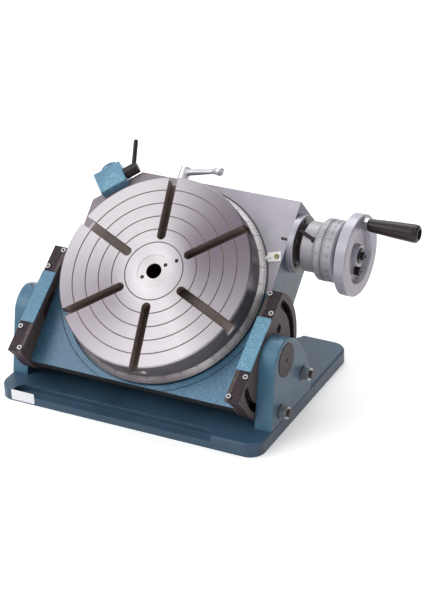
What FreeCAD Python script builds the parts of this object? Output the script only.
import FreeCAD, Part
import math
import os
from FreeCAD import Placement, Rotation, Vector

# Tilting rotary table, millimetres. World frame: X along the trunnion axis towards the handwheel,
# Y towards the back, Z up, origin at the centre of the base's underside.
# The cradle and all it carries are drawn flat in a cradle frame (X, U, N): its origin is on the
# trunnion axis, U runs from the trunnion towards the worm, N is the table's normal.

# ---- driving dimensions ----
TILT = 42.2               # cradle tilt at rest, degrees from flat
TRUNNION_Y = -64.8
TRUNNION_Z = 114.2

BASE_HALF_X = 219.5
BASE_HALF_Y = 163.4
BASE_H = 21.7

CHEEK_IN = 192.7          # inner face of each cheek, from the middle plane
PIN_R = 25.5              # trunnion pins
RUN = 0.05                # radial clearance of running fits
LOCK_R = 78.0             # radius of the arc slots that take the tilt clamping studs
LOCK_ANGLES = (-42.0, -105.0)
DISC_IN = 167.0
DISC_OUT = 192.3
DISC_SEAT = 173.8         # discs sit against the body's shoulders here
BAR_IN = 169.6            # the flat bar on each disc overhangs the shoulder
DISC_R = 95.0
CHORD_N = 39.0            # height of the flat chord over the trunnion axis
CHORD_TURN = -8.0         # the chord leans back from the cradle's own plane

BODY_U0 = -90.0
BODY_U1 = 240.0
BODY_TOP = 10.0
BODY_BOTTOM = -84.0
BODY_SWING_R = 91.0      # the underside is rounded about the trunnion, to swing clear of the base

TABLE_U = 72.4            # table axis in the cradle frame
TABLE_R = 151.5
TABLE_TOP = 62.0
TABLE_LOW = 23.0
RING_R = 158.5
RING_SEAT_R = 138.0
RING_LOW = 12.0
GROOVE_RADII = (46.0, 67.0, 88.0, 109.0, 130.0)
SLOT_COUNT = 6
SLOT_PHASE = 37.8
SLOT_W = 14.0
SLOT_START = 50.0
SPINDLE_R = 60.0
WHEEL_SEAT_R = 40.0
BUSHING_R = 26.0
BORE_R = 12.0

MODULE = 2.25
TEETH = 90
WHEEL_PITCH_R = MODULE * TEETH / 2
WORM_U = 187.6
WORM_N = -28.0
WORM_PITCH_R = WORM_U - TABLE_U - WHEEL_PITCH_R
WHEEL_WIDTH = 24.0
FLANK_GAP = 0.35          # backlash on each flank
LEAD = math.pi * MODULE
SHAFT_R = 9.0

ECCENTRIC = 5.0           # worm axis to sleeve axis
ECCENTRIC_ANGLE = -45.0   # direction from worm axis to sleeve axis, from U towards N
SLEEVE_U = WORM_U + ECCENTRIC * math.cos(math.radians(ECCENTRIC_ANGLE))
SLEEVE_N = WORM_N + ECCENTRIC * math.sin(math.radians(ECCENTRIC_ANGLE))
SLEEVE_R = 28.0
FLANGE_R = 44.6
FLANGE_OUT = 177.8
BARREL_IN = 186.3
BARREL_R = 38.3
COLLAR_IN = 205.5
DIAL_IN = 222.3
DIAL_OUT = 242.7
DIAL_R = 47.0
WHEEL_BACK = 251.0
WHEEL_FRONT = 269.0
HANDWHEEL_R = 62.0
HUB_R = 18.0
GRIP_ORBIT = 48.4
GRIP_ANGLE = 34.0
GRIP_END = 356.0

# clamp housing on the cut corner of the cradle body
CORNER_A = (-167.0, 181.0)
CORNER_B = (-101.0, 240.0)
BLOCK_MID = (-143.5, 216.0)
BLOCK_ANGLE = math.degrees(math.atan2(CORNER_B[1] - CORNER_A[1], CORNER_B[0] - CORNER_A[0]))
BLOCK_L = 45.0

LEVER_X = -46.0
LEVER_N = -18.0

WORLD = Placement()
CRADLE = Placement(Vector(0, TRUNNION_Y, TRUNNION_Z), Rotation(Vector(1, 0, 0), TILT))
X_AXIS = Vector(1, 0, 0)
Y_AXIS = Vector(0, 1, 0)
Z_AXIS = Vector(0, 0, 1)


# ---- helpers ----
def box(x0, x1, y0, y1, z0, z1):
    return Part.makeBox(x1 - x0, y1 - y0, z1 - z0, Vector(x0, y0, z0))


def rod(r, start, end):
    start = Vector(*start)
    along = Vector(*end) - start
    return Part.makeCylinder(r, along.Length, start, along)


def ring(r_out, r_in, start, end):
    return rod(r_out, start, end).cut(rod(r_in, start, end))


def cone(r0, r1, start, end):
    start = Vector(*start)
    along = Vector(*end) - start
    return Part.makeCone(r0, r1, along.Length, start, along)


def polar(cx, cy, r, degrees):
    a = math.radians(degrees)
    return (cx + r * math.cos(a), cy + r * math.sin(a))


def prism(points, z0, z1):
    wire = Part.makePolygon([Vector(x, y, z0) for x, y in points + points[:1]])
    return Part.Face(wire).extrude(Vector(0, 0, z1 - z0))


def slotted(cx, cy, length, r, z0, z1, degrees=0.0):
    """Round-ended slot of half-width r, centres `length` apart."""
    half = length / 2
    solid = box(-half, half, -r, r, z0, z1)
    for side in (-half, half):
        solid = solid.fuse(rod(r, (side, 0, z0), (side, 0, z1)))
    solid.Placement = Placement(Vector(cx, cy, 0), Rotation(Z_AXIS, degrees))
    return solid.removeSplitter()


def revolve(profile, origin, axis, radial):
    """Turned solid: profile is a list of (distance along axis, radius)."""
    origin, axis, radial = Vector(*origin), Vector(*axis), Vector(*radial)
    points = [origin + axis * a + radial * r for a, r in profile]
    wire = Part.makePolygon(points + points[:1])
    return Part.Face(wire).revolve(origin, axis, 360)


def fuse_all(shapes):
    first = shapes[0]
    return first.multiFuse(shapes[1:]).removeSplitter() if len(shapes) > 1 else first


def cut_all(shape, tools):
    for tool in tools:
        shape = shape.cut(tool)
    return shape.removeSplitter()


def save(node, shapes, placement=WORLD):
    shapes = shapes if isinstance(shapes, list) else [shapes]
    solids = [s for shape in shapes for s in shape.Solids]
    for solid in solids:
        if not solid.isValid() or solid.Volume <= 0:
            print("bad solid in", node)
        solid.Placement = placement.multiply(solid.Placement)
    result = solids[0] if len(solids) == 1 else Part.makeCompound(solids)
    result.exportStep("parts/" + node + ".step")


def cap_screw(r, head_r, head_h, under, tip, axis_in, at):
    """Socket screw: head on the outer side of `under`, shank to `tip`, along axis_in."""
    a, p = Vector(*axis_in), Vector(*at)
    head = Part.makeCylinder(head_r, head_h, p + a * (under - head_h), a)
    shank = Part.makeCylinder(r, tip - under, p + a * under, a)
    socket = hexagon(head_r * 0.5, head_h * 0.55, p + a * (under - head_h), a)
    return head.fuse(shank).cut(socket).removeSplitter()


def hexagon(flat_r, height, at, axis):
    """Hexagonal prism with inscribed radius flat_r standing on `at` along axis."""
    corner = flat_r / math.cos(math.pi / 6)
    points = [Vector(corner * math.cos(math.pi / 3 * i), corner * math.sin(math.pi / 3 * i), 0)
              for i in range(7)]
    solid = Part.Face(Part.makePolygon(points)).extrude(Vector(0, 0, height))
    solid.Placement = Placement(Vector(*at), Rotation(Z_AXIS, Vector(*axis)))
    return solid


# ---- base, cheeks and trunnions ----
def base_plate():
    plate = box(-BASE_HALF_X, BASE_HALF_X, -BASE_HALF_Y, BASE_HALF_Y, 0, BASE_H)
    upright = [e for e in plate.Edges if abs(e.tangentAt(e.FirstParameter).z) > 0.9]
    plate = plate.makeFillet(24.0, upright)
    rim = [e for e in plate.Edges if e.BoundBox.ZMin > BASE_H - 0.1]
    plate = plate.makeFillet(4.0, rim)
    # clamping ledges along the front and the back edge
    ledge_len = 300.0
    for y in (-BASE_HALF_Y, BASE_HALF_Y):
        plate = plate.cut(slotted(-24.0, y, ledge_len, 17.0, 12.0, BASE_H + 1))
    # underside relief either side of a middle rib
    for side in (-1, 1):
        plate = plate.cut(slotted(side * 102.0, 0, 90.0, 52.0, -1, 5.0, 0))
    # troughs that the trunnion discs dip into
    for side in (-1, 1):
        plate = plate.cut(rod(DISC_R + 1.6, (side * (DISC_IN - 2.0), TRUNNION_Y, TRUNNION_Z),
                              (side * CHEEK_IN, TRUNNION_Y, TRUNNION_Z)))
    for side in (-1, 1):
        for y in CHEEK_SCREW_Y:
            plate = plate.cut(rod(6.0, (side * CHEEK_MID, y, -1), (side * CHEEK_MID, y, BASE_H + 1)))
            plate = plate.cut(rod(9.5, (side * CHEEK_MID, y, -1), (side * CHEEK_MID, y, 12.0)))
    return plate.removeSplitter()


CHEEK_MID = (CHEEK_IN + BASE_HALF_X) / 2
CHEEK_SCREW_Y = (-100.0, -30.0)


def cheek(side):
    y = TRUNNION_Y
    foot, top = BASE_H, 147.5
    x_in, x_out = side * CHEEK_IN, side * BASE_HALF_X
    v = [Vector(x_in, a, b) for a, b in (
        (-120.0, foot), (-101.5, 118.0), (-88.0, 139.0), (y, top), (-38.0, 137.0), (-11.0, 109.0),
        (12.0, 72.0), (20.5, foot))]
    edges = [
        Part.LineSegment(v[0], v[1]).toShape(),
        Part.Arc(v[1], v[2], v[3]).toShape(),
        Part.Arc(v[3], v[4], v[5]).toShape(),
        Part.Arc(v[5], v[6], v[7]).toShape(),
        Part.LineSegment(v[7], v[0]).toShape(),
    ]
    solid = Part.Face(Part.Wire(edges)).extrude(Vector(x_out - x_in, 0, 0))
    outer_edges = [e for e in solid.Edges
                   if abs(e.BoundBox.XMin - x_out) < 0.01 and abs(e.BoundBox.XMax - x_out) < 0.01
                   and e.BoundBox.ZMax > foot + 1]
    solid = solid.makeFillet(2.0, outer_edges)
    tools = [rod(PIN_R, (side * 180, y, TRUNNION_Z), (side * 230, y, TRUNNION_Z))]
    for degrees in LOCK_ANGLES:
        sy, sz = polar(y, TRUNNION_Z, LOCK_R, degrees)
        tools.append(rod(6.6, (side * 180, sy, sz), (side * 230, sy, sz)))
    for sy in CHEEK_SCREW_Y:
        tools.append(rod(5.0, (side * CHEEK_MID, sy, foot - 1), (side * CHEEK_MID, sy, foot + 20)))
    tools.append(rod(3.5, (side * CHEEK_MID, y, TRUNNION_Z), (side * CHEEK_MID, y, top + 5)))
    return cut_all(solid, tools)


def cheek_screws():
    screws = []
    for side in (-1, 1):
        for y in CHEEK_SCREW_Y:
            screws.append(cap_screw(5.0, 9.0, 9.5, 12.0, BASE_H + 18, (0, 0, 1), (side * CHEEK_MID, y, 0)))
    return screws


def trunnion_pin(side):
    pin = rod(PIN_R, (side * (DISC_SEAT + 1.2), TRUNNION_Y, TRUNNION_Z),
              (side * (BASE_HALF_X + 0.8), TRUNNION_Y, TRUNNION_Z))
    centre = cone(3.0, 0.4, (side * (BASE_HALF_X + 1.0), TRUNNION_Y, TRUNNION_Z),
                  (side * (BASE_HALF_X - 4.0), TRUNNION_Y, TRUNNION_Z))
    dimple = rod(3.6, (side * CHEEK_MID, TRUNNION_Y, TRUNNION_Z + PIN_R - 3),
                 (side * CHEEK_MID, TRUNNION_Y, TRUNNION_Z + PIN_R + 1))
    return cut_all(pin, [centre, dimple])


def pin_set_screws():
    screws = []
    for side in (-1, 1):
        low = (side * CHEEK_MID, TRUNNION_Y, TRUNNION_Z + PIN_R - 2.8)
        high = (side * CHEEK_MID, TRUNNION_Y, 146.2)
        key = hexagon(1.6, 4.0, (side * CHEEK_MID, TRUNNION_Y, 142.4), (0, 0, 1))
        screws.append(rod(3.4, low, high).cut(key))
    return screws


def lock_points():
    return [polar(TRUNNION_Y, TRUNNION_Z, LOCK_R, degrees) for degrees in LOCK_ANGLES]


def lock_studs(side):
    """T-bolts: square-cornered heads slide in the disc's arc slot, threads reach out of the cheek."""
    studs = []
    for y, z in lock_points():
        head = rod(8.6, (side * (DISC_OUT - 13.0), y, z), (side * (DISC_OUT - 8.0), y, z))
        shank = rod(6.0, (side * (DISC_OUT - 8.0), y, z), (side * (BASE_HALF_X + 15.8), y, z))
        studs.append(head.fuse(shank).removeSplitter())
    return studs


def lock_washers(side):
    return [ring(11.6, 6.2, (side * BASE_HALF_X, y, z), (side * (BASE_HALF_X + 1.6), y, z))
            for y, z in lock_points()]


def lock_nuts(side):
    nuts = []
    for y, z in lock_points():
        start = (side * (BASE_HALF_X + 1.6), y, z)
        nut = hexagon(9.3, 9.8, start, (side, 0, 0))
        crown = cone(10.0, 13.4, (side * (BASE_HALF_X + 11.4), y, z), (side * (BASE_HALF_X + 1.6), y, z))
        bore = rod(6.1, (side * BASE_HALF_X, y, z), (side * (BASE_HALF_X + 20), y, z))
        nuts.append(nut.common(crown).cut(bore))
    return nuts


# ---- cradle: body, trunnion discs, covers ----
def cut_corner(z0, z1):
    (ax, ay), (bx, by) = CORNER_A, CORNER_B
    return prism([(ax - 1, ay), (ax, ay), (bx, by), (bx, by + 1), (ax - 1, by + 1)], z0, z1)


COVER_R = 122.0
CHAMBER_R = 109.0
CHAMBER_TOP = -12.0
COVER_SEAT = -60.0
COVER_LOW = -66.0
BUSH_R = 66.0
THRUST_IN = 104.0
THRUST_OUT = 130.0
THRUST_SEAT = 4.0
COVER_SCREW_R = 115.5
SHOULDER_U = 84.0
DISC_SCREWS = [polar(0, 0, 44.0, degrees) for degrees in (-2.0, -62.0, -122.0, 178.0)]
FLANGE_SCREW_ANGLES = (45.0, 105.0, 165.0, 225.0)
FLANGE_SCREW_R = 37.6


def cradle_body():
    body = box(-DISC_IN, DISC_IN, BODY_U0, BODY_U1, BODY_BOTTOM, BODY_TOP)
    long_edges = [e for e in body.Edges if e.BoundBox.XLength > 300]
    low_edges = [e for e in long_edges if e.BoundBox.ZMax < 0]
    body = body.makeFillet(9.0, [e for e in low_edges if e.BoundBox.YMin > 0])
    body = body.cut(cut_corner(BODY_BOTTOM - 1, BODY_TOP + 1))
    front = box(-200, 200, BODY_U0 - 1, 0, BODY_BOTTOM - 1, 0)
    body = body.cut(front.cut(rod(BODY_SWING_R, (-201, 0, 0), (201, 0, 0))))
    shoulders = box(-DISC_SEAT, DISC_SEAT, BODY_U0, SHOULDER_U, BODY_BOTTOM, BODY_TOP)
    shoulders = shoulders.common(rod(BODY_SWING_R, (-201, 0, 0), (201, 0, 0)))
    body = body.fuse(shoulders).removeSplitter()
    bead = ring(171.0, 169.4, (0, TABLE_U, BODY_TOP - 0.9), (0, TABLE_U, BODY_TOP + 1))
    body = body.cut(bead.common(box(-200, 200, -200, TABLE_U, 0, 20)))
    tools = [
        ring(RING_R + 2.5, THRUST_OUT, (0, TABLE_U, BODY_TOP - 4), (0, TABLE_U, BODY_TOP + 1)),
        ring(THRUST_OUT, THRUST_IN, (0, TABLE_U, THRUST_SEAT), (0, TABLE_U, BODY_TOP + 1)),
        rod(BUSH_R, (0, TABLE_U, CHAMBER_TOP - 1), (0, TABLE_U, BODY_TOP + 1)),
        rod(CHAMBER_R, (0, TABLE_U, COVER_SEAT - 1), (0, TABLE_U, CHAMBER_TOP)),
        rod(COVER_R, (0, TABLE_U, BODY_BOTTOM - 1), (0, TABLE_U, COVER_SEAT)),
        rod(SLEEVE_R + RUN, (-88, SLEEVE_U, SLEEVE_N), (DISC_IN + 1, SLEEVE_U, SLEEVE_N)),
        rod(8.0 + RUN, (LEVER_X, BODY_U1 - 12, LEVER_N), (LEVER_X, BODY_U1 + 1, LEVER_N)),
        rod(4.0, (LEVER_X + 60, BODY_U1 - 12, LEVER_N), (LEVER_X + 60, BODY_U1 + 1, LEVER_N)),
    ]
    for degrees in FLANGE_SCREW_ANGLES:
        u, n = polar(WORM_U, WORM_N, FLANGE_SCREW_R, degrees)
        tools.append(rod(2.5, (DISC_IN - 12, u, n), (DISC_IN + 1, u, n)))
    for side in (-1, 1):
        for u, n in DISC_SCREWS:
            tools.append(rod(4.0, (side * (DISC_IN - 18), u, n), (side * (DISC_SEAT + 1), u, n)))
    return cut_all(body, tools)


def bottom_cover():
    plate = rod(COVER_R - 0.3, (0, TABLE_U, COVER_LOW), (0, TABLE_U, COVER_SEAT))
    for x, u in cover_screw_points():
        plate = plate.cut(rod(2.6, (x, u, COVER_LOW - 1), (x, u, COVER_SEAT + 1)))
        plate = plate.cut(rod(5.0, (x, u, COVER_LOW - 1), (x, u, COVER_LOW + 3)))
    return plate


def cover_screw_points():
    return [polar(0, TABLE_U, COVER_SCREW_R, 30 + 60 * i) for i in range(6)]


def cover_screws():
    return [cap_screw(2.5, 4.6, 3.0, COVER_LOW + 3, COVER_SEAT, (0, 0, 1), (x, u, 0))
            for x, u in cover_screw_points()]


def chord_frame():
    """Frame of the flat chord: X across the disc, Y along the chord, Z out of it."""
    return Placement(Vector(0, 0, 0), Rotation(X_AXIS, CHORD_TURN))


def arc_slot(x0, x1, half_width):
    """Ring sector round the trunnion axis, as deep as x0..x1."""
    start, end = SLOT_ARC
    inner, outer = LOCK_R - half_width, LOCK_R + half_width
    side = Part.Face(Part.makePolygon([
        Vector(x0, inner, 0), Vector(x1, inner, 0), Vector(x1, outer, 0), Vector(x0, outer, 0),
        Vector(x0, inner, 0)]))
    side.rotate(Vector(0, 0, 0), X_AXIS, start)
    sector = side.revolve(Vector(0, 0, 0), X_AXIS, end - start)
    for degrees in (start, end):
        y, z = polar(0, 0, LOCK_R, degrees)
        sector = sector.fuse(rod(half_width, (x0, y, z), (x1, y, z)))
    return sector.removeSplitter()


SLOT_ARC = (-208.0, 10.0)


TOE_U = -92.2
BAR_FROM, BAR_TO = -104.0, 86.0


def flat_bar(side):
    """Bar along the chord; its inner face slopes back to the disc's own."""
    section = [(BAR_IN, CHORD_N), (DISC_OUT, CHORD_N), (DISC_OUT, 22.0), (DISC_SEAT, 22.0),
               (BAR_IN, 32.0), (BAR_IN, CHORD_N)]
    face = Part.Face(Part.makePolygon([Vector(side * x, BAR_FROM, z) for x, z in section]))
    bar = face.extrude(Vector(0, BAR_TO - BAR_FROM, 0))
    bar.Placement = chord_frame()
    return bar.cut(box(-300, 300, -200, TOE_U, -100, 100))


def trunnion_disc(side):
    disc = rod(DISC_R, (side * DISC_SEAT, 0, 0), (side * DISC_OUT, 0, 0))
    toe = box(min(side * DISC_SEAT, side * DISC_OUT), max(side * DISC_SEAT, side * DISC_OUT),
              TOE_U, -60, 10, 70)
    above = box(-300, 300, -200, 200, CHORD_N, 200)
    above.Placement = chord_frame()
    disc = disc.fuse(toe).cut(above).fuse(flat_bar(side)).removeSplitter()
    tools = [
        rod(PIN_R + RUN, (side * (DISC_SEAT - 1), 0, 0), (side * (DISC_OUT + 1), 0, 0)),
        arc_slot(side * (DISC_OUT - 7.6), side * (DISC_OUT + 1), 6.6),
        arc_slot(side * (DISC_OUT - 13.6), side * (DISC_OUT - 7.6), 9.4),
    ]
    for u, n in DISC_SCREWS:
        tools.append(rod(4.0, (side * (DISC_SEAT - 1), u, n), (side * (DISC_OUT + 1), u, n)))
        tools.append(rod(7.0, (side * (DISC_OUT - 9), u, n), (side * (DISC_OUT + 1), u, n)))
    for point in chord_screw_points(side):
        hole = rod(2.5, (point[0], point[1], CHORD_N - 9), (point[0], point[1], CHORD_N + 1))
        hole.Placement = chord_frame()
        tools.append(hole)
    return cut_all(disc, tools)


PAD_FROM, PAD_TO, PAD_H = -47.7, 40.7, 2.2
CHORD_SCREWS = ((187.8, 49.5), (174.4, 80.5), (187.8, -56.5), (174.4, -91.0))


def chord_screw_points(side):
    return [(side * x, along) for x, along in CHORD_SCREWS]


def chord_screws(side):
    screws = []
    for x, along in chord_screw_points(side):
        screw = cap_screw(2.4, 3.8, 2.0, -CHORD_N, -CHORD_N + 8, (0, 0, -1), (x, along, 0))
        screw.Placement = chord_frame()
        screws.append(screw)
    return screws


def chord_pad(side):
    pad = box(min(side * BAR_IN, side * DISC_OUT), max(side * BAR_IN, side * DISC_OUT),
              PAD_FROM, PAD_TO, CHORD_N, CHORD_N + PAD_H)
    upright = [e for e in pad.Edges if abs(e.tangentAt(e.FirstParameter).z) > 0.9]
    pad = pad.makeFillet(2.0, upright)
    pad.Placement = chord_frame()
    return pad


def disc_screws(side):
    return [cap_screw(3.9, 6.6, 7.0, -DISC_OUT + 9, -DISC_OUT + 9 + 30, (-side, 0, 0), (0, u, n))
            for u, n in DISC_SCREWS]


def thrust_ring():
    return ring(THRUST_OUT - 0.05, THRUST_IN + 0.05, (0, TABLE_U, THRUST_SEAT),
                (0, TABLE_U, RING_LOW - 0.1))


def table_bush():
    return ring(BUSH_R, SPINDLE_R + RUN, (0, TABLE_U, CHAMBER_TOP), (0, TABLE_U, BODY_TOP))


def index_plate():
    plate = box(-10, 10, -7.5, 7.5, BODY_TOP, BODY_TOP + 1.6)
    tip = prism([(-10, -5), (-14.5, 0), (-10, 5)], BODY_TOP, BODY_TOP + 1.6)
    plate = plate.fuse(tip).removeSplitter()
    hole = rod(2.2, (4, 0, BODY_TOP - 1), (4, 0, BODY_TOP + 3))
    plate = plate.cut(hole)
    plate.Placement = INDEX_PLACE
    return plate


INDEX_ANGLE = 25.5
INDEX_MID = polar(0, TABLE_U, RING_R + 14.9, INDEX_ANGLE)
INDEX_PLACE = Placement(Vector(INDEX_MID[0] - 2, INDEX_MID[1], 0), Rotation(Z_AXIS, INDEX_ANGLE - 8))


def index_screw():
    shank = rod(2.0, (4, 0, BODY_TOP), (4, 0, BODY_TOP + 1.6))
    head = rod(3.8, (4, 0, BODY_TOP + 1.6), (4, 0, BODY_TOP + 3.6))
    slot = box(-1, 9, -0.5, 0.5, BODY_TOP + 2.6, BODY_TOP + 5)
    screw = head.fuse(shank).cut(slot)
    screw.Placement = INDEX_PLACE
    return screw


def oil_plug():
    at = (LEVER_X + 60, BODY_U1, LEVER_N)
    stem = rod(4.0, (at[0], at[1] - 10, at[2]), at)
    cap = rod(6.5, at, (at[0], at[1] + 4, at[2]))
    return stem.fuse(cap).removeSplitter()


# ---- table clamp housing on the cut corner ----
def block_place():
    return Placement(Vector(BLOCK_MID[0], BLOCK_MID[1], 0), Rotation(Z_AXIS, BLOCK_ANGLE))


BLOCK_INNER = -18.4       # edge over the body's top face, in the block's own frame
# face seated on the cut corner
BLOCK_FACE = ((BLOCK_MID[0] - CORNER_A[0]) * math.sin(math.radians(BLOCK_ANGLE))
              - (BLOCK_MID[1] - CORNER_A[1]) * math.cos(math.radians(BLOCK_ANGLE)))
BLOCK_OUTER = 18.4
BLOCK_TOP = 27.0
BLOCK_LOW = -26.0
CLAMP_N = 15.0
CLAMP_V = -1.0
CLAMP_R = 9.2
CLAMP_BORE_R = 6.0


def clamp_block():
    half = BLOCK_L / 2
    upper = box(-half, half, BLOCK_INNER, BLOCK_OUTER, BODY_TOP, BLOCK_TOP)
    upper = upper.makeFillet(2.0, [e for e in upper.Edges if e.BoundBox.ZMin > BLOCK_TOP - 0.1])
    lower = box(-half, half, BLOCK_FACE, BLOCK_OUTER, BLOCK_LOW, BODY_TOP)
    boss = rod(15.5, (3, BLOCK_OUTER - 4, 4), (3, BLOCK_OUTER + 11, 4))
    boss = boss.makeFillet(3.0, [e for e in boss.Edges if e.BoundBox.YMin > BLOCK_OUTER + 10])
    block = fuse_all([upper, lower, boss])
    bore = rod(CLAMP_BORE_R + RUN, (half - 30, CLAMP_V, CLAMP_N), (half + 1, CLAMP_V, CLAMP_N))
    block = block.cut(bore)
    block.Placement = block_place()
    return block


def clamp_hub():
    half = BLOCK_L / 2
    spindle = rod(CLAMP_BORE_R, (half - 28, CLAMP_V, CLAMP_N), (half + 0.3, CLAMP_V, CLAMP_N))
    head = rod(CLAMP_R, (half + 0.3, CLAMP_V, CLAMP_N), (half + 23.0, CLAMP_V, CLAMP_N))
    head = head.makeFillet(1.5, [e for e in head.Edges if e.BoundBox.XMin > half + 22])
    hub = head.fuse(spindle).removeSplitter()
    hub = hub.cut(rod(3.6, CLAMP_ROD[0], CLAMP_ROD[1]))
    hub.Placement = block_place()
    return hub


CLAMP_ROD = ((BLOCK_L / 2 + 16.0, CLAMP_V + 2.0, CLAMP_N + 1.5),
             (BLOCK_L / 2 + 38.0, CLAMP_V + 32.0, CLAMP_N + 16.0))


def clamp_rod():
    stick = rod(3.6, CLAMP_ROD[0], CLAMP_ROD[1])
    ball = Part.makeSphere(3.6, Vector(*CLAMP_ROD[1]))
    stick = stick.fuse(ball).removeSplitter()
    stick.Placement = block_place()
    return stick


# ---- worm-side clamp lever ----
LEVER_HUB_R = 8.0
LEVER_ARM_U = 262.0
LEVER_ARM = 79.0
LEVER_LIFT = 25.0


def lock_lever():
    """Cast lever: stepped hub along U, tapering arm with a swollen end."""
    stem = rod(LEVER_HUB_R, (LEVER_X, BODY_U1 - 10, LEVER_N), (LEVER_X, BODY_U1 + 8, LEVER_N))
    hub = rod(9.2, (LEVER_X, BODY_U1 + 0.6, LEVER_N), (LEVER_X, LEVER_ARM_U + 8.5, LEVER_N))
    hub = hub.makeFillet(2.4, [e for e in hub.Edges if e.BoundBox.YMin > LEVER_ARM_U + 8])
    a = math.radians(LEVER_LIFT)
    along = Vector(math.cos(a), 0, math.sin(a))
    root = Vector(LEVER_X, LEVER_ARM_U, LEVER_N)
    arm = Part.makeCone(5.6, 4.0, LEVER_ARM - 14, root, along)
    swell = Part.makeCone(4.0, 7.2, 14.0, root + along * (LEVER_ARM - 14), along)
    ball = Part.makeSphere(7.2, root + along * LEVER_ARM)
    lever = fuse_all([stem, hub, arm, swell, ball])
    return lever.cut(hexagon(3.0, 5.0, (LEVER_X, LEVER_ARM_U + 4.5, LEVER_N), (0, 1, 0)))


# ---- rotary table ----
def table_place():
    return Placement(Vector(0, TABLE_U, 0), Rotation())


def tee_slot(degrees):
    """T-slot from near the centre out through the rim."""
    throat = slotted((SLOT_START + 170) / 2 + SLOT_W / 2, 0, 170 - SLOT_START, SLOT_W / 2,
                     TABLE_TOP - 25, TABLE_TOP + 1)
    tee = slotted((SLOT_START + 170) / 2 + SLOT_W / 2, 0, 170 - SLOT_START, 12.0,
                  TABLE_TOP - 25, TABLE_TOP - 14)
    slot = throat.fuse(tee).removeSplitter()
    slot.Placement = Placement(Vector(0, 0, 0), Rotation(Z_AXIS, degrees)).multiply(slot.Placement)
    return slot


SPINDLE_LOW = -54.0
RIM_HOLES = 12


def table_disc():
    profile = [(SPINDLE_LOW, 21.0), (SPINDLE_LOW, WHEEL_SEAT_R), (WHEEL_TOP, WHEEL_SEAT_R),
               (WHEEL_TOP, SPINDLE_R), (RING_LOW, SPINDLE_R), (RING_LOW, RING_SEAT_R),
               (TABLE_LOW, RING_SEAT_R), (TABLE_LOW, TABLE_R), (TABLE_TOP - 2.0, TABLE_R),
               (TABLE_TOP, TABLE_R - 2.0), (TABLE_TOP, BUSHING_R), (RING_LOW, BUSHING_R),
               (RING_LOW, 21.0)]
    disc = revolve(profile, (0, 0, 0), (0, 0, 1), (1, 0, 0))
    tools = [tee_slot(SLOT_PHASE + 60 * i) for i in range(SLOT_COUNT)]
    for r in GROOVE_RADII:
        groove = [(TABLE_TOP + 0.5, r - 1.0), (TABLE_TOP + 0.5, r + 1.0), (TABLE_TOP - 1.1, r + 0.5),
                  (TABLE_TOP - 1.1, r - 0.5)]
        tools.append(revolve(groove, (0, 0, 0), (0, 0, 1), (1, 0, 0)))
    for i in range(RIM_HOLES):
        x, y = polar(0, 0, TABLE_R + 1, SLOT_PHASE + 15 + 30 * i)
        tools.append(rod(1.7, (x, y, TABLE_LOW + 6), (x * 0.96, y * 0.96, TABLE_LOW + 6)))
    x, y = polar(0, 0, 37.5, 36.5)
    tools.append(rod(3.0, (x, y, TABLE_TOP - 9), (x, y, TABLE_TOP + 1)))
    disc = cut_all(disc, tools)
    disc.Placement = table_place()
    return disc


def degree_ring():
    profile = [(RING_LOW, RING_SEAT_R), (RING_LOW, RING_R), (RING_LOW + 1.2, RING_R),
               (TABLE_LOW, TABLE_R - 0.5), (TABLE_LOW, RING_SEAT_R)]
    solid = revolve(profile, (0, 0, 0), (0, 0, 1), (1, 0, 0))
    solid.Placement = table_place()
    return solid


def centre_bushing():
    low = 16.0
    bush = ring(BUSHING_R, BORE_R, (0, 0, low), (0, 0, TABLE_TOP - 0.4))
    for degrees in (40.0, 220.0):
        x, y = polar(0, 0, 19.6, degrees)
        bush = bush.cut(rod(3.0, (x, y, TABLE_TOP - 9), (x, y, TABLE_TOP + 1)))
    bush.Placement = table_place()
    return bush


def table_set_screw():
    x, y = polar(0, 0, 37.5, 36.5)
    screw = rod(3.0, (x, y, TABLE_TOP - 9), (x, y, TABLE_TOP - 0.8))
    screw = screw.cut(hexagon(1.5, 4, (x, y, TABLE_TOP - 4), (0, 0, 1)))
    screw.Placement = table_place()
    return screw


WHEEL_TOP = WORM_N + WHEEL_WIDTH / 2
WHEEL_BOTTOM = WORM_N - WHEEL_WIDTH / 2
WHEEL_SCREW_R = 51.0


def gear_wire(z, turn):
    """Closed outline of all teeth at height z. Flanks lean 20 degrees, as on a rack."""
    half_pitch_width = (math.pi * MODULE / 2 - FLANK_GAP) / 2
    lean = math.tan(math.radians(20))
    levels = ((-1.15, 1), (1.0, 1), (1.0, -1), (-1.15, -1))
    points = []
    for tooth in range(TEETH):
        middle = math.radians(90 + 360 / TEETH * (tooth + 0.5)) + turn
        for level, hand in levels:
            r = WHEEL_PITCH_R + level * MODULE
            half = half_pitch_width - level * MODULE * lean
            angle = middle - hand * half / r
            points.append(Vector(r * math.cos(angle), r * math.sin(angle), z))
    return Part.makePolygon(points + points[:1])


def worm_wheel():
    twist = WHEEL_WIDTH * (LEAD / (2 * math.pi * WORM_PITCH_R)) / WHEEL_PITCH_R
    rim = Part.makeLoft([gear_wire(WHEEL_BOTTOM, -twist / 2), gear_wire(WHEEL_TOP, twist / 2)],
                        True, True)
    tools = [rod(WHEEL_SEAT_R, (0, 0, WHEEL_BOTTOM - 1), (0, 0, WHEEL_TOP + 1)),
             ring(90, 62, (0, 0, WHEEL_BOTTOM - 1), (0, 0, WHEEL_BOTTOM + 7))]
    for i in range(6):
        x, y = polar(0, 0, WHEEL_SCREW_R, 60 * i)
        tools.append(rod(3.1, (x, y, WHEEL_BOTTOM - 1), (x, y, WHEEL_TOP + 1)))
        tools.append(rod(5.4, (x, y, WHEEL_BOTTOM - 1), (x, y, WHEEL_BOTTOM + 6)))
    wheel = cut_all(rim, tools)
    wheel.Placement = table_place()
    return wheel


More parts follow.
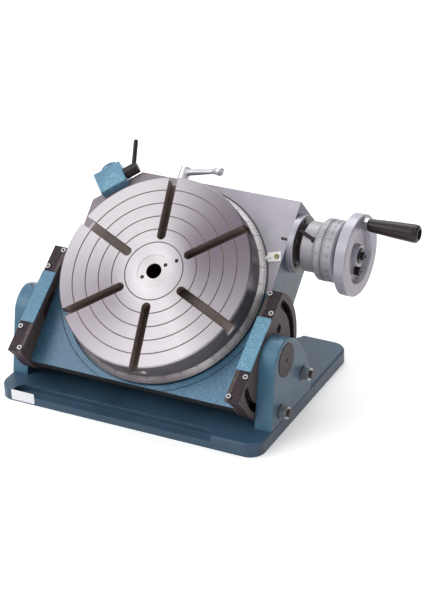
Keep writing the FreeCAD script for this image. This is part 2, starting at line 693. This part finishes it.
def wheel_screws():
    screws = []
    for i in range(6):
        x, y = polar(0, 0, WHEEL_SCREW_R, 60 * i)
        screw = cap_screw(3.0, 5.2, 5.5, WHEEL_BOTTOM + 6, WHEEL_TOP, (0, 0, 1), (x, y, 0))
        screw.Placement = table_place()
        screws.append(screw)
    return screws


def spindle_nut():
    nut = ring(58.0, WHEEL_SEAT_R, (0, 0, WHEEL_BOTTOM - 12), (0, 0, WHEEL_BOTTOM - 0.2))
    for i in range(4):
        x, y = polar(0, 0, 60, 45 + 90 * i)
        nut = nut.cut(rod(5.0, (x, y, WHEEL_BOTTOM - 13), (x, y, WHEEL_BOTTOM + 1)))
    nut.Placement = table_place()
    return nut


# ---- worm drive: flange, eccentric sleeve, worm, dial and handwheel ----
def worm_flange():
    flange = rod(FLANGE_R, (DISC_IN, WORM_U, WORM_N), (FLANGE_OUT, WORM_U, WORM_N))
    flange = flange.makeFillet(1.5, [e for e in flange.Edges if e.BoundBox.XMin > FLANGE_OUT - 0.1])
    tools = [rod(SLEEVE_R + RUN, (DISC_IN - 1, SLEEVE_U, SLEEVE_N), (FLANGE_OUT + 1, SLEEVE_U, SLEEVE_N))]
    for degrees in FLANGE_SCREW_ANGLES:
        u, n = polar(WORM_U, WORM_N, FLANGE_SCREW_R, degrees)
        tools.append(rod(2.5, (DISC_IN - 1, u, n), (FLANGE_OUT + 1, u, n)))
        tools.append(rod(4.4, (FLANGE_OUT - 5, u, n), (FLANGE_OUT + 1, u, n)))
    return cut_all(flange, tools)


def flange_screws():
    screws = []
    for degrees in FLANGE_SCREW_ANGLES:
        u, n = polar(WORM_U, WORM_N, FLANGE_SCREW_R, degrees)
        screws.append(cap_screw(2.4, 4.2, 4.2, -FLANGE_OUT + 5, -DISC_IN + 10, (-1, 0, 0), (0, u, n)))
    return screws


SLEEVE_END = -84.0
SLEEVE_BORE_R = 18.5
WINDOW_HALF = 64.0
WINDOW_FROM, WINDOW_TO = 125.0, 283.0


def eccentric_sleeve():
    sleeve = rod(SLEEVE_R, (SLEEVE_END, SLEEVE_U, SLEEVE_N), (BARREL_IN + 4, SLEEVE_U, SLEEVE_N))
    bore = rod(SLEEVE_BORE_R, (SLEEVE_END - 1, WORM_U, WORM_N), (BARREL_IN + 5, WORM_U, WORM_N))
    wedge = Part.makeCylinder(SLEEVE_R + 5, 2 * WINDOW_HALF, Vector(-WINDOW_HALF, SLEEVE_U, SLEEVE_N),
                              X_AXIS, WINDOW_TO - WINDOW_FROM)
    wedge.rotate(Vector(0, SLEEVE_U, SLEEVE_N), X_AXIS, wedge_turn(wedge))
    return cut_all(sleeve, [bore, wedge])


def wedge_turn(wedge):
    """Turn that brings the wedge's first face to WINDOW_FROM, measured from U towards N."""
    mid = wedge.CenterOfMass
    now = math.degrees(math.atan2(mid.z - SLEEVE_N, mid.y - SLEEVE_U))
    return (WINDOW_FROM + WINDOW_TO) / 2 - now


def worm_bushes():
    spans = ((SLEEVE_END, SLEEVE_END + 18), (66.0, 84.0), (168.0, BARREL_IN + 4))
    return [ring(SLEEVE_BORE_R, SHAFT_R + RUN, (a, WORM_U, WORM_N), (b, WORM_U, WORM_N))
            for a, b in spans]


def index_collar():
    """Barrel on the sleeve's nose, swelling to the ring that carries the index scale."""
    profile = [(BARREL_IN, SHAFT_R + 2), (BARREL_IN, BARREL_R - 1.5), (BARREL_IN + 1.5, BARREL_R),
               (COLLAR_IN, BARREL_R), (COLLAR_IN + 6.0, DIAL_R - 1.2), (COLLAR_IN + 8.0, DIAL_R),
               (DIAL_IN, DIAL_R), (DIAL_IN, SHAFT_R + 2)]
    collar = revolve(profile, (0, WORM_U, WORM_N), (1, 0, 0), (0, 1, 0))
    socket = rod(SLEEVE_R, (BARREL_IN - 1, SLEEVE_U, SLEEVE_N), (BARREL_IN + 4, SLEEVE_U, SLEEVE_N))
    return collar.cut(socket).cut(peg_lever())


PEG_TIP = (184.2, WORM_U + 4.8, WORM_N + 46.2)
PEG_FOOT = (211.2, WORM_U - 4.9, WORM_N + 35.8)
PEG_R = 2.9


def peg_lever():
    """Stub lever leaning back over the barrel, thicker at its foot in the collar."""
    tip, foot = Vector(*PEG_TIP), Vector(*PEG_FOOT)
    stick = rod(PEG_R, PEG_TIP, PEG_FOOT)
    knuckle = rod(4.3, tip + (foot - tip) * 0.70, PEG_FOOT)
    return stick.fuse(knuckle).removeSplitter()


def worm_shaft():
    shaft = revolve([(SLEEVE_END + 1, 0), (SLEEVE_END + 1, SHAFT_R), (-34, SHAFT_R), (-34, WORM_ROOT_R),
                     (34, WORM_ROOT_R), (34, SHAFT_R), (WHEEL_FRONT - 12, SHAFT_R),
                     (WHEEL_FRONT - 12, 0)], (0, WORM_U, WORM_N), (1, 0, 0), (0, 1, 0))
    shaft = shaft.fuse(worm_thread()).removeSplitter()
    thread_hole = rod(3.9, (WHEEL_FRONT - 30, WORM_U, WORM_N), (WHEEL_FRONT, WORM_U, WORM_N))
    return shaft.cut(thread_hole)


WORM_ROOT_R = WORM_PITCH_R - 1.15 * MODULE
THREAD_TURNS = 8


def worm_thread():
    """Right-handed trapezoid thread; a crest faces the wheel at x = 0."""
    half_pitch_width = (LEAD / 2 - FLANK_GAP) / 2
    lean = math.tan(math.radians(20))
    root, tip = WORM_ROOT_R - 0.6, WORM_PITCH_R + 0.95 * MODULE
    half_root = half_pitch_width + (WORM_PITCH_R - root) * lean
    half_tip = half_pitch_width - (tip - WORM_PITCH_R) * lean
    length = THREAD_TURNS * LEAD
    helix = Part.makeHelix(LEAD, length, WORM_PITCH_R)
    profile = Part.makePolygon([Vector(root, 0, -half_root), Vector(tip, 0, -half_tip),
                                Vector(tip, 0, half_tip), Vector(root, 0, half_root),
                                Vector(root, 0, -half_root)])
    thread = Part.Wire(helix).makePipeShell([profile], True, True)
    # helix axis Z becomes X; its start (+X side, z = 0) faces the wheel (-U) half a length to the left
    turn = Placement(Vector(-length / 2, WORM_U, WORM_N),
                     Rotation(Vector(0, -1, 0), Vector(0, 0, -1), Vector(1, 0, 0), "XZY"))
    thread.Placement = turn
    return thread


def dial_ring():
    profile = [(DIAL_IN + 0.3, HUB_R + RUN), (DIAL_IN + 0.3, DIAL_R - 0.8), (DIAL_IN + 1.1, DIAL_R),
               (DIAL_OUT - 3, DIAL_R), (DIAL_OUT, DIAL_R - 2.2), (DIAL_OUT, HUB_R + RUN)]
    return revolve(profile, (0, WORM_U, WORM_N), (1, 0, 0), (0, 1, 0))


def handwheel():
    profile = [(DIAL_IN + 0.3, SHAFT_R), (DIAL_IN + 0.3, HUB_R), (DIAL_OUT + 0.4, HUB_R),
               (DIAL_OUT + 0.4, 27.0), (WHEEL_BACK + 2, 30.0), (WHEEL_BACK + 2, 52.0),
               (WHEEL_BACK, 54.0), (WHEEL_BACK, HANDWHEEL_R - 1.2), (WHEEL_BACK + 1.2, HANDWHEEL_R),
               (WHEEL_FRONT - 1.6, HANDWHEEL_R), (WHEEL_FRONT, HANDWHEEL_R - 1.6),
               (WHEEL_FRONT, 43.0), (WHEEL_FRONT - 2, 41.5), (WHEEL_FRONT - 8, 39.5),
               (WHEEL_FRONT - 8, 17.6), (WHEEL_FRONT - 1, 16.4), (WHEEL_FRONT - 1, SHAFT_R)]
    wheel = revolve(profile, (0, WORM_U, WORM_N), (1, 0, 0), (0, 1, 0))
    u, n = polar(WORM_U, WORM_N, GRIP_ORBIT, GRIP_ANGLE)
    tools = [rod(5.0, (WHEEL_FRONT - 14, u, n), (WHEEL_FRONT + 1, u, n))]
    v = polar(WORM_U, WORM_N, DIAL_SCREW_R, DIAL_SCREW_ANGLE)
    tools.append(rod(3.0, (WHEEL_FRONT - 9.5, v[0], v[1]), (WHEEL_FRONT + 1, v[0], v[1])))
    return cut_all(wheel, tools)


DIAL_SCREW_R = 25.0
DIAL_SCREW_ANGLE = 222.0


def handwheel_bolt():
    washer = rod(11.5, (WHEEL_FRONT - 1, WORM_U, WORM_N), (WHEEL_FRONT + 1.2, WORM_U, WORM_N))
    plug = rod(SHAFT_R, (WHEEL_FRONT - 11.8, WORM_U, WORM_N), (WHEEL_FRONT - 1, WORM_U, WORM_N))
    shank = rod(3.8, (WHEEL_FRONT - 29, WORM_U, WORM_N), (WHEEL_FRONT, WORM_U, WORM_N))
    head = rod(6.2, (WHEEL_FRONT + 1.2, WORM_U, WORM_N), (WHEEL_FRONT + 6.5, WORM_U, WORM_N))
    bolt = fuse_all([washer, plug, shank, head])
    return bolt.cut(hexagon(3.2, 6, (WHEEL_FRONT + 3, WORM_U, WORM_N), (1, 0, 0)))


def handwheel_screw():
    u, n = polar(WORM_U, WORM_N, DIAL_SCREW_R, DIAL_SCREW_ANGLE)
    head = rod(6.5, (WHEEL_FRONT - 8, u, n), (WHEEL_FRONT + 1, u, n))
    head = head.makeFillet(1.0, [e for e in head.Edges if e.BoundBox.XMin > WHEEL_FRONT + 0.5])
    screw = head.fuse(rod(2.9, (WHEEL_FRONT - 9, u, n), (WHEEL_FRONT - 8, u, n))).removeSplitter()
    return screw.cut(hexagon(2.5, 6, (WHEEL_FRONT - 3.5, u, n), (1, 0, 0)))


def grip_axis():
    return polar(WORM_U, WORM_N, GRIP_ORBIT, GRIP_ANGLE)


def grip_stud():
    u, n = grip_axis()
    thread = rod(5.0, (WHEEL_FRONT - 13, u, n), (WHEEL_FRONT + 8, u, n))
    spindle = rod(4.5, (WHEEL_FRONT + 7, u, n), (GRIP_END - 9, u, n))
    head = rod(7.5, (GRIP_END - 9, u, n), (GRIP_END - 5, u, n))
    return fuse_all([thread, spindle, head])


def grip_nut():
    u, n = grip_axis()
    nut = hexagon(8.6, 7.6, (WHEEL_FRONT, u, n), (1, 0, 0))
    return nut.cut(rod(5.0, (WHEEL_FRONT - 1, u, n), (WHEEL_FRONT + 12, u, n)))


def grip():
    u, n = grip_axis()
    start = WHEEL_FRONT + 8.3
    profile = [(start, 4.5 + RUN), (start, 8.6), (start + 1.5, 9.6), (start + 40, 12.4),
               (GRIP_END - 8, 13.8), (GRIP_END - 3, 13.2), (GRIP_END - 0.5, 10.5), (GRIP_END, 8.0),
               (GRIP_END - 4.5, 7.8), (GRIP_END - 9.3, 7.8), (GRIP_END - 9.3, 4.5 + RUN)]
    return revolve(profile, (0, u, n), (1, 0, 0), (0, 1, 0))


def build():
    os.makedirs("parts", exist_ok=True)
    save("base_plate", base_plate())
    save("cheek_screws", cheek_screws())
    save("pin_set_screws", pin_set_screws())
    for side, name in ((-1, "left"), (1, "right")):
        save("cheek_" + name, cheek(side))
        save("trunnion_pin_" + name, trunnion_pin(side))
        save("lock_studs_" + name, lock_studs(side))
        save("lock_washers_" + name, lock_washers(side))
        save("lock_nuts_" + name, lock_nuts(side))
        save("trunnion_disc_" + name, trunnion_disc(side), CRADLE)
        save("chord_pad_" + name, chord_pad(side), CRADLE)
        save("chord_screws_" + name, chord_screws(side), CRADLE)
        save("disc_screws_" + name, disc_screws(side), CRADLE)
    cradle_parts = (
        cradle_body, bottom_cover, cover_screws, thrust_ring, table_bush, index_plate, index_screw,
        oil_plug, clamp_block, clamp_hub, clamp_rod, lock_lever, table_disc, degree_ring,
        centre_bushing, table_set_screw, worm_wheel, wheel_screws, spindle_nut, worm_flange,
        flange_screws, eccentric_sleeve, worm_bushes, index_collar, peg_lever, worm_shaft, dial_ring,
        handwheel, handwheel_bolt, handwheel_screw, grip_stud, grip_nut, grip,
    )
    for make in cradle_parts:
        save(make.__name__, make(), CRADLE)


build()
